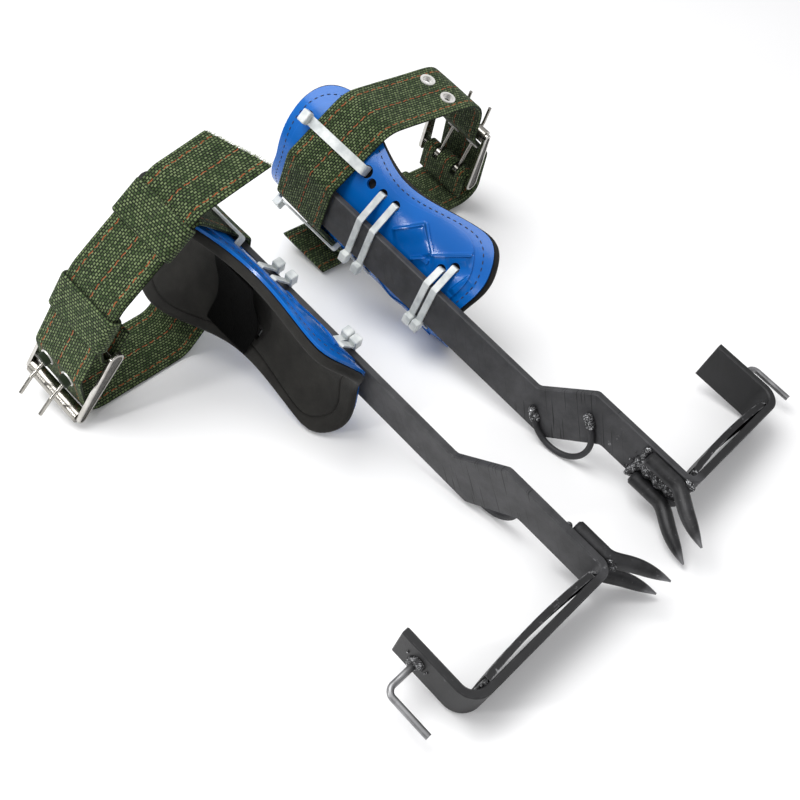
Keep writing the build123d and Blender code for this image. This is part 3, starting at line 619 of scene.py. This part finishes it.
for side in sides:
    edge = guard_edge(lining_border, edge_count)[0]
    middle = np.array([guard_middle, 0.0])
    inward = middle - edge
    reach = np.linalg.norm(inward, axis=1)
    rows = [(edge + inward * (depth / reach)[:, None], depth) for depth in lining_steps]
    last = 1 - lining_steps[-1] / reach
    rows += [(middle - inward * (last * share)[:, None], field_depth) for share in field_shares]
    middle_radius = (lining_outside + lining_inside) / 2
    half = (lining_outside - lining_inside) / 2
    points, faces = [], []
    for inner in (True, False):
        first = len(points)
        for spots, depth in rows:
            roll = math.sqrt(max(0.0, 1 - max(0.0, 1 - depth / edge_roll) ** 2))
            crease = crease_depth * math.exp(-((depth - crease_inset) / crease_width) ** 2)
            tucked = lining_tuck * min(1.0, max(0.0, (depth - tuck_start) / tuck_run))
            radius = middle_radius + half * roll - tucked
            if inner:
                radius = middle_radius - half * roll + crease
            points += [on_guard(height, arc, radius) for height, arc in spots]
        centre = len(points)
        points.append(on_guard(
            guard_middle, 0.0, lining_inside if inner else lining_outside - lining_tuck))
        for here in range(first, centre - edge_count, edge_count):
            there = here + edge_count
            for spot in range(edge_count):
                beside = (spot + 1) % edge_count
                faces.append((here + spot, here + beside, there + beside, there + spot))
        inmost = centre - edge_count
        for spot in range(edge_count):
            faces.append((inmost + spot, inmost + (spot + 1) % edge_count, centre))
    pad = make_piece(side + "_lining", side, points, faces, foam_finish)
    build = bmesh.new()
    build.from_mesh(pad.data)
    bmesh.ops.remove_doubles(build, verts=build.verts, dist=joined_gap)
    bmesh.ops.recalc_face_normals(build, faces=build.faces)
    build.to_mesh(pad.data)
    build.free()
    cutters = []
    for height, arc in tie_slots:
        angle = arc / shell_radius
        cutters.append(hole_cutter(side, on_guard(height, arc, middle_radius),
                                   (-math.cos(angle), math.sin(angle)), tie_slot_half))
    cut_through(pad, cutters)
    pad.data.shade_smooth()
    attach(pad, side + "_spike")
    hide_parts(side + "_shin_foam")


# Elastic band: a wide black woven elastic, sewn to the lining at both ends, that hangs slack
# across the inside of the guard with its middle folded over.
band_low, band_width, band_thick = 263.0, 38.0, 1.5
band_angle = math.radians(47.0)
band_slack = 11.0
band_gap = 0.2
band_flat = 0.8
band_round = 1.2
band_fold, band_sway = 5.5, 3.0
band_stations, band_cross = 60, 16
rib_pitch, pick_pitch = 1.3, 0.9
cloth_unit = 100.0


def flat_ways(wire, flat):
    """Millimetres along and across a strap as flat cloth."""
    return [wire.node("SeparateXYZ", None, {0: flat}, way) * cloth_unit for way in (0, 1)]


def strap_ring(width, count):
    """Round a strap's section: places across it, closer at its edges, and the face they lie on."""
    across = [width * (1 - math.cos(math.pi * spot / count)) / 2 for spot in range(count + 1)]
    return [(a, 1) for a in across] + [(a, -1) for a in across[-2:0:-1]]


def strap_rise(a, face, width, thick, rounded, power):
    """How far a strap's face stands from its middle, rounded off at the edges."""
    return face * thick / 2 * (1 - max(0.0, 1 - min(a, width - a) / rounded) ** power)


band_finish, wire = new_finish("elastic")
length_way, cross_way = flat_ways(wire, wire.node("UVMap", {"uv_map": "flat"}))
rib = wire.math("SINE", cross_way * (2 * math.pi / rib_pitch)) * 0.5 + 0.5
pick = wire.math("SINE", length_way * (2 * math.pi / pick_pitch)) * 0.5 + 0.5
weave = rib * 0.6 + pick * 0.4
base = weave.tint(colour(2, 2, 2), colour(10, 10, 10))
close_finish(wire, {"Base Color": base, "Roughness": 0.8, "Specular IOR Level": 0.04},
             weave, 0.0002)

for side in sides:
    radius = lining_inside - band_gap - band_thick / 2
    first = np.array([shin_axis[0] - radius * math.cos(band_angle),
                      shin_axis[1] + radius * math.sin(band_angle)])
    last = np.array([first[0], 2 * shin_axis[1] - first[1]])
    deep = shin_axis[0] - radius + band_slack
    points, flat_places = [], []
    ring = strap_ring(band_width, band_cross)
    for station in range(band_stations + 1):
        share = station / band_stations
        line = first + (last - first) * share
        bow = (deep - first[0]) * 4 * share * (1 - share)
        for a, top in ring:
            cross = a / band_width
            fold = max(0.0, 1 - abs(cross - 0.1 - 0.8 * share) / 0.5)
            curl = band_fold * math.sin(math.pi * share) * (fold - 0.45)
            rise = strap_rise(a, top, band_width, band_thick, band_round, 2)
            sway = band_sway * math.sin(2 * math.pi * share) * math.sin(math.pi * share)
            points.append((band_low + a + sway, line[0] + bow + curl + rise, line[1]))
            flat_places.append((share * band_flat, a / cloth_unit))
    faces = tube_faces(band_stations + 1, len(ring))
    band = make_piece(side + "_elastic", side, points, faces, band_finish, flat_places)
    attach(band, side + "_spike")
    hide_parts(side + "_elastic_band")


# Nylon ties: natural white cable ties. Two pairs on each spike go through the shell's holes
# and round the bar, and a wide one on each side of the bar holds the belt to the shell.
tie_finish, wire = new_finish("nylon")
place = wire.node("TexCoord", None, None, "Object")
cloud = grain(wire, place, 120.0, 3.0)
teeth = wire.node("TexWave", {"bands_direction": "X"}, {"Vector": place, "Scale": 330.0}, 1)
base = cloud.between(0.3, 0.7).tint(colour(188, 193, 193), colour(222, 225, 223))
close_finish(wire, {"Base Color": base, "Roughness": 0.34 + 0.14 * cloud,
                    "Subsurface Weight": 0.25, "Subsurface Radius": (0.002, 0.002, 0.002)},
             teeth * 0.4 + cloud * 0.2, 0.00006)
for side in sides:
    put_on(tie_finish, side + "_upper_shin_ties", side + "_lower_shin_ties",
           side + "_front_belt_tie", side + "_rear_belt_tie")


# Belt: one length of olive webbing, woven coarse with pale flecks and sewn along with three
# rows of rust thread. It is folded on the buckle's heel bar, goes round the bar and the
# shell, and comes back through the buckle to its free end.
belt_low, belt_width, belt_thick = 302.0, 45.0, 2.6
belt_middle = belt_low + belt_width / 2
belt_lean = {"left": 0.0, "right": 0.10}
belt_corners = {
    "left": [(93.49, -33.55), (106.83, -53.39), (113.39, -49.17), (114.0, -34.74), (98.2, -7.37),
             (42.58, 36.55), (-1.8, -14.5), (-1.8, -49.5), (46.98, -105.61), (127.56, -98.77),
             (130.59, -57.27), (100.59, -5.31), (40.94, 41.8), (-5.6, 48.34)],
    "right": [(151.68, -78.48), (147.4, -54.96), (155.04, -53.4), (165.55, -63.32),
              (170.95, -84.68), (41.55, -99.36), (-1.8, -49.5), (-1.8, -14.5), (34.28, 27.0),
              (127.56, 27.0), (135.57, -12.36), (161.73, -35.61), (174.83, -87.36),
              (19.87, -104.94)],
}
belt_turns = {
    "left": [3.78, 3.78, 6.0, 34.9, 6.0, 2.5, 2.5, 12.0, 15.0, 4.0, 38.0, 15.0],
    "right": [3.78, 3.78, 6.0, 11.9, 12.0, 2.5, 2.5, 20.0, 24.0, 12.0, 4.0, 15.0],
}
eyelet_rows = {
    "left": [((130.08, -64.22), (0.9974, -0.0727))],
    "right": [((156.52, -30.98), (-0.6643, -0.7474)), ((99.56, 27.0), (0.0, 1.0))],
}
heel_bars = {"left": ((108.0, -48.0), -57.3), "right": ((152.0, -58.0), 101.5)}
prong_offsets = (-10.0, 10.0)
eyelet_hole = (4.45,)
prong_slot, prong_slot_reach = (2.5, 6.6), 3.3
belt_grid = 1.25
belt_cross = 22
belt_round = 1.4
round_power = 2.4
weave_long, weave_wide = 2.4, 1.85
seam_rows = (5.5, 21.5, 38.5)
seam_step, seam_zig = 6.2, 2.3
tip_reach, tip_spare = 40.0, 20.0
tip_lengths = {"left": (6.0, -8.0), "right": (0.0, 0.0)}
strand_counts = {"left": 320, "right": 90}
strand_edge, strand_half = 0.8, 0.17
fray_start, fray_row = (86.5, 88.0), 90.0
turn_steps = 24


def strap_line(corners, turns):
    """Points of a strap's route, its corners turned, at even steps along it."""
    corners = [np.array(corner, float) for corner in corners]
    line = [corners[0]]
    for before, corner, after, turn in zip(corners, corners[1:], corners[2:], turns):
        back, on = unit(before - corner), unit(after - corner)
        half = math.acos(np.clip(np.dot(back, on), -1, 1)) / 2
        centre = corner + unit(back + on) * turn / math.sin(half)
        start = corner + back * turn / math.tan(half) - centre
        end = corner + on * turn / math.tan(half) - centre
        sweep = math.atan2(start[0] * end[1] - start[1] * end[0], np.dot(start, end))
        for share in np.linspace(0, 1, turn_steps):
            cosine, sine = math.cos(sweep * share), math.sin(sweep * share)
            line.append(centre + np.array([cosine * start[0] - sine * start[1],
                                           sine * start[0] + cosine * start[1]]))
    line.append(corners[-1])
    line = np.array(line)
    lengths = np.concatenate([[0], np.cumsum(np.linalg.norm(np.diff(line, axis=0), axis=1))])
    even = np.linspace(0, lengths[-1], int(lengths[-1] / belt_grid) + 1)
    line = np.column_stack([np.interp(even, lengths, line[:, axis]) for axis in (0, 1)])
    for _ in range(3):
        line[1:-1] = (line[:-2] + 2 * line[1:-1] + line[2:]) / 4
    return line, lengths[-1]


belt_finish, wire = new_finish("webbing")
flat = wire.node("UVMap", {"uv_map": "flat"})
length_way, cross_way = flat_ways(wire, flat)
wobble = grain(wire, flat, 40.0, 2.0) - 0.5
cross_cell = cross_way / weave_wide + wobble * 0.35
row = wire.math("FLOOR", cross_cell)
length_cell = length_way / weave_long + wobble * 0.35 + wire.math("MODULO", row, 2.0) * 0.5
from_length = wire.math("FRACT", length_cell) - 0.5
from_cross = wire.math("FRACT", cross_cell) - 0.5
crown = (1 - abs(from_length).between(0.24, 0.5)) * (1 - abs(from_cross).between(0.16, 0.5))
fleck_each = wire.node("TexWhiteNoise", {"noise_dimensions": "2D"}, {
    "Vector": wire.node("CombineXYZ", None, {0: wire.math("FLOOR", length_cell), 1: row})})
shade = grain(wire, flat, 9.0, 4.0, 0.6)
ground = shade.between(0.3, 0.7).tint(colour(10, 19, 4), colour(24, 37, 13))
fleck = fleck_each.between(0.1, 0.9).tint(colour(56, 76, 37), colour(110, 126, 84))
cloth = (crown.between(0.3, 0.95) * 0.92).tint(ground, fleck)
seam = None
for seam_row in seam_rows:
    beat = wire.math("FRACT", length_way / seam_step + seam_row * 0.13)
    zig = wire.math("PINGPONG", length_way / seam_zig, 1.0) - 0.5
    line = 1 - abs(cross_way - seam_row + zig * 0.6).between(0.22, 0.5)
    stitch = line * (1 - abs(beat - 0.5).between(0.3, 0.38))
    seam = stitch if seam is None else wire.math("MAXIMUM", seam, stitch)
thread = grain(wire, flat, 300.0).tint(colour(112, 54, 28), colour(184, 98, 54))
cloth = seam.tint(cloth, thread)
cloth = cross_way.between(*fray_start).tint(cloth, colour(150, 160, 120))
close_finish(wire, {"Base Color": cloth, "Roughness": 0.86 - 0.1 * crown,
                    "Specular IOR Level": 0.25, "Sheen Weight": 0.06},
             crown * 0.75 + seam * 0.5, 0.0006)

for side in sides:
    line, length = strap_line(belt_corners[side], belt_turns[side])
    stations = np.linspace(0, length, len(line))
    ahead = np.gradient(line, axis=0)
    ahead /= np.linalg.norm(ahead, axis=1)[:, None]
    line = np.vstack([line, line[-1] + ahead[-1] * tip_spare])
    ahead = np.vstack([ahead, ahead[-1]])
    reaches = np.append(stations, length + tip_spare)
    low_tip, high_tip = tip_lengths[side]

    def on_belt(run, a, rise):
        """A point of the belt at a run along it, a width from its lower edge, and a rise."""
        late = max(0.0, 1 - (length - run) / tip_reach)
        run = run + late * (low_tip + (high_tip - low_tip) * a / belt_width)
        q, r = (np.interp(run, reaches, line[:, axis]) for axis in (0, 1))
        dq, dr = (np.interp(run, reaches, ahead[:, axis]) for axis in (0, 1))
        ripple = 0.12 * math.sin(run / 19.0 + a / 11.0) + 0.08 * math.sin(run / 7.0 - a / 6.0)
        y, z = q - dr * (rise + ripple), r + dq * (rise + ripple)
        return belt_low + a - belt_lean[side] * y, y, z

    points, flat_places = [], []
    ring = strap_ring(belt_width, belt_cross)
    for run in stations:
        for a, face in ring:
            rise = strap_rise(a, face, belt_width, belt_thick, belt_round, round_power)
            points.append(on_belt(run, a, rise))
            flat_places.append((run / cloth_unit, a / cloth_unit))
    faces = tube_faces(len(stations), len(ring))
    noise = np.random.default_rng(7)
    for _ in range(strand_counts[side]):
        a = noise.uniform(strand_edge, belt_width - strand_edge)
        lift = noise.uniform(-strand_edge, strand_edge)
        long, stray, bent = noise.uniform(0.6, 3.2), noise.normal(0, 0.9), noise.normal(0, 0.9)
        first = len(points)
        for share in (-0.4, 0.3, 0.7, 1.0):
            thin = strand_half * (1.25 - share)
            for side_way, rise_way in ((1.0, 0.0), (-0.5, 0.87), (-0.5, -0.87)):
                points.append(on_belt(length + share * long, a + share * stray + thin * side_way,
                                      lift + share ** 2 * bent + thin * rise_way))
                flat_places.append(((length + a) / cloth_unit, fray_row / cloth_unit))
        faces += tube_faces(4, 3, first)
    belt = make_piece(side + "_webbing", side, points, faces, belt_finish, flat_places)
    cutters = []
    for (y, z), axis in eyelet_rows[side]:
        for offset in prong_offsets:
            place = (belt_middle + offset - belt_lean[side] * y, y, z)
            cutters.append(hole_cutter(side, place, axis, eyelet_hole))
    (y, z), angle = heel_bars[side]
    toward = (math.cos(math.radians(angle)), math.sin(math.radians(angle)))
    for offset in prong_offsets:
        place = (belt_middle + offset - belt_lean[side] * y,
                 y + prong_slot_reach * toward[0], z + prong_slot_reach * toward[1])
        cutters.append(hole_cutter(side, place, (-toward[1], toward[0]), prong_slot))
    cut_through(belt, cutters)
    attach(belt, side + "_spike")
    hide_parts(side + "_belt")


# Belt keepers: short loops of the same webbing, sewn shut round both layers of the belt. One
# is sewn on beside the buckle, and the other slides on the free end.
keeper_width, keeper_thick = 25.0, 2.0
keeper_inside = (45.8, 6.5)
keeper_corner, keeper_round = 1.9, 1.2
keeper_cross = 14
keeper_cloth = 60.0
keeper_spots = {
    "left_fixed_keeper": ((108.74, -22.53), (-0.5, 0.866), "left_spike"),
    "left_sliding_keeper": ((57.25, 26.95), (-0.7848, 0.6198), "left_keeper_slider"),
    "right_fixed_keeper": ((129.0, -91.0), (0.9936, 0.1127), "right_spike"),
    "right_sliding_keeper": ((87.26, -95.73), (0.9936, 0.1127), "right_keeper_slider"),
}
for name, ((y, z), heading, body) in keeper_spots.items():
    side = name.split("_")[0]
    wide = keeper_inside[0] + keeper_thick
    tall = keeper_inside[1] + keeper_thick
    corners = [(0, -tall / 2), (wide / 2, -tall / 2), (wide / 2, tall / 2), (-wide / 2, tall / 2),
               (-wide / 2, -tall / 2), (0, -tall / 2)]
    line, length = strap_line(corners, [keeper_corner] * 4)
    line = line[:-1]
    ahead = np.roll(line, -1, axis=0) - np.roll(line, 1, axis=0)
    ahead /= np.linalg.norm(ahead, axis=1)[:, None]
    out = np.column_stack([-ahead[:, 1], ahead[:, 0]])
    ring = strap_ring(keeper_width, keeper_cross)
    normal = (-heading[1], heading[0])
    points, flat_places = [], []
    for index, ((up, proud), (out_up, out_proud)) in enumerate(zip(line, out)):
        for a, face in ring:
            rise = strap_rise(a, face, keeper_width, keeper_thick, keeper_round, round_power)
            along = a - keeper_width / 2
            stand = proud + out_proud * rise
            py = y + heading[0] * along + normal[0] * stand
            pz = z + heading[1] * along + normal[1] * stand
            middle = belt_middle - belt_lean[side] * (y + heading[0] * along)
            points.append((middle + up + out_up * rise, py, pz))
            flat_places.append((length * index / len(line) / cloth_unit,
                                (a + keeper_cloth) / cloth_unit))
    loop = make_piece(name + "_loop", side, points, tube_faces(len(line), len(ring), 0, True),
                      belt_finish, flat_places)
    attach(loop, body)
    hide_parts(name)


# Roller buckle and eyelets: nickel plated steel. The frame has a round heel bar, a roller on
# its front bar and dished side plates with a dark textured floor. Two prongs hinge on the
# heel bar, and the eyelets are clenched through the webbing.
plate_floor = 26.7
pit_scale = 1800.0
speck_range = (0.62, 0.75)


def nickel(name):
    """A plated finish with soft smears, before its shader."""
    material, wire = new_finish(name)
    place = wire.node("TexCoord", None, None, "Object")
    return material, wire, place, grain(wire, place, 130.0, 4.0, 0.6)


for side in sides:
    frame_finish, wire, place, smear = nickel(side + "_plated_frame")
    pits = grain(wire, place, pit_scale)
    middle = belt_middle - belt_lean[side] * heel_bars[side][0][0]
    from_middle = abs(along_spike(wire, side, 0) - middle)
    axis = tuple(spike_frames[side][0][:, 0])
    flat = wire.node("NewGeometry", None, None, "Normal")
    facing = abs(wire.node("VectorMath", {"operation": "DOT_PRODUCT"}, {0: flat, 1: axis}, "Value"))
    dished = (1 - abs(from_middle - plate_floor).between(0.12, 0.25)) * facing.between(0.8, 0.95)
    bright = smear.between(0.3, 0.7).tint(colour(172, 169, 163), colour(202, 200, 195))
    bright = (pits.between(*speck_range) * 0.3).tint(bright, colour(120, 116, 110))
    dark = pits.between(0.4, 0.65).tint(colour(34, 34, 35), colour(120, 119, 117))
    base = (dished * 0.85).tint(bright, dark)
    close_finish(wire, {"Base Color": base, "Roughness": 0.12 + 0.1 * smear + 0.4 * dished,
                        "Metallic": 1.0}, pits * dished + smear * 0.05, 0.0003)
    put_on(frame_finish, side + "_buckle_frame")

plated_finish, wire, place, smear = nickel("nickel")
bright = smear.between(0.3, 0.7).tint(colour(150, 147, 140), colour(166, 163, 156))
close_finish(wire, {"Base Color": bright, "Roughness": 0.22 + 0.03 * smear, "Metallic": 1.0})
eyelet_finish, wire, place, smear = nickel("rolled_nickel")
pits = grain(wire, place, pit_scale)
bright = smear.between(0.3, 0.7).tint(colour(214, 212, 208), colour(240, 239, 236))
bright = (pits.between(*speck_range) * 0.2).tint(bright, colour(128, 124, 118))
close_finish(wire, {"Base Color": bright, "Roughness": 0.32 + 0.1 * smear, "Metallic": 0.45},
             pits, 0.000004)
for side in sides:
    put_on(plated_finish, side + "_buckle_roller", side + "_low_prong", side + "_high_prong")
    put_on(eyelet_finish, side + "_eyelets")


# Studio: a plain white floor in a pale room, lit by a soft overhead lamp, a window and a strip,
# and the camera where the photograph was taken. A lamp has its place, aim, sizes and power.
floor_half = 40.0
lamps = (
    ("overhead", (-0.35, -0.25, 1.3), (0.0, 0.0, 0.05), 0.9, 0.9, 13.0),
    ("window", (0.9, -0.9, 0.9), (0.0, 0.0, 0.05), 0.6, 0.6, 2.0),
    ("strip", (-0.30, -0.88, 0.38), (-0.05, 0.05, 0.08), 0.1, 0.24, 2.6),
)
eye_place = (0.312538, -0.404619, 0.525836)

floor_mesh = bpy.data.meshes.new("floor")
floor_ends = ((-floor_half, -floor_half, 0.0), (floor_half, -floor_half, 0.0),
              (floor_half, floor_half, 0.0), (-floor_half, floor_half, 0.0))
floor_mesh.from_pydata(floor_ends, [], [(0, 1, 2, 3)])
floor = bpy.data.objects.new("floor", floor_mesh)
bpy.context.scene.collection.objects.link(floor)
floor_finish, wire = new_finish("white_floor")
place = wire.node("TexCoord", None, None, "Object")
paper = grain(wire, place, 3.0, 2.0)
base = paper.tint(colour(247, 247, 247), colour(250, 250, 250))
close_finish(wire, {"Base Color": base, "Roughness": 0.9, "Specular IOR Level": 0.1})
floor_mesh.materials.append(floor_finish)

world = bpy.data.worlds.new("room")
bpy.context.scene.world = world
world.use_nodes = True
world.node_tree.nodes.clear()
wire = Wire(world.node_tree)
direction = wire.node("TexCoord", None, None, "Generated")
upward = wire.node("SeparateXYZ", None, {0: direction}, 2)
room = upward.between(0.05, 0.75).tint((0.2, 0.2, 0.21, 1.0), (0.74, 0.74, 0.75, 1.0))
sky = wire.node("Background", None, {"Color": room, "Strength": 1.0})
wire.node("OutputWorld", None, {"Surface": sky})

for name, place, aim, size, tall, power in lamps:
    lamp = bpy.data.lights.new(name, "AREA")
    lamp.shape = "RECTANGLE"
    lamp.size = size
    lamp.size_y = tall
    lamp.energy = power
    lit = bpy.data.objects.new(name, lamp)
    lit.location = place
    lit.visible_camera = False
    lit.rotation_euler = (Vector(aim) - Vector(place)).to_track_quat("-Z", "Y").to_euler()
    bpy.context.scene.collection.objects.link(lit)

camera = bpy.data.cameras.new("camera")
camera.sensor_width = 36.0
camera.sensor_fit = "HORIZONTAL"
camera.lens = 49.379
camera.clip_start = 0.01
eye = bpy.data.objects.new("camera", camera)
right_hand = Vector((0.73098, 0.68052, 0.05064))
upright = Vector((-0.51466, 0.50105, 0.69575))
looking = Vector((-0.44810, 0.53464, -0.71649))
turned = Matrix((right_hand, upright, -looking)).transposed()
eye.matrix_world = Matrix.Translation(eye_place) @ turned.to_4x4()
bpy.context.scene.collection.objects.link(eye)
bpy.context.scene.camera = eye
bpy.context.scene.view_settings.view_transform = "Standard"
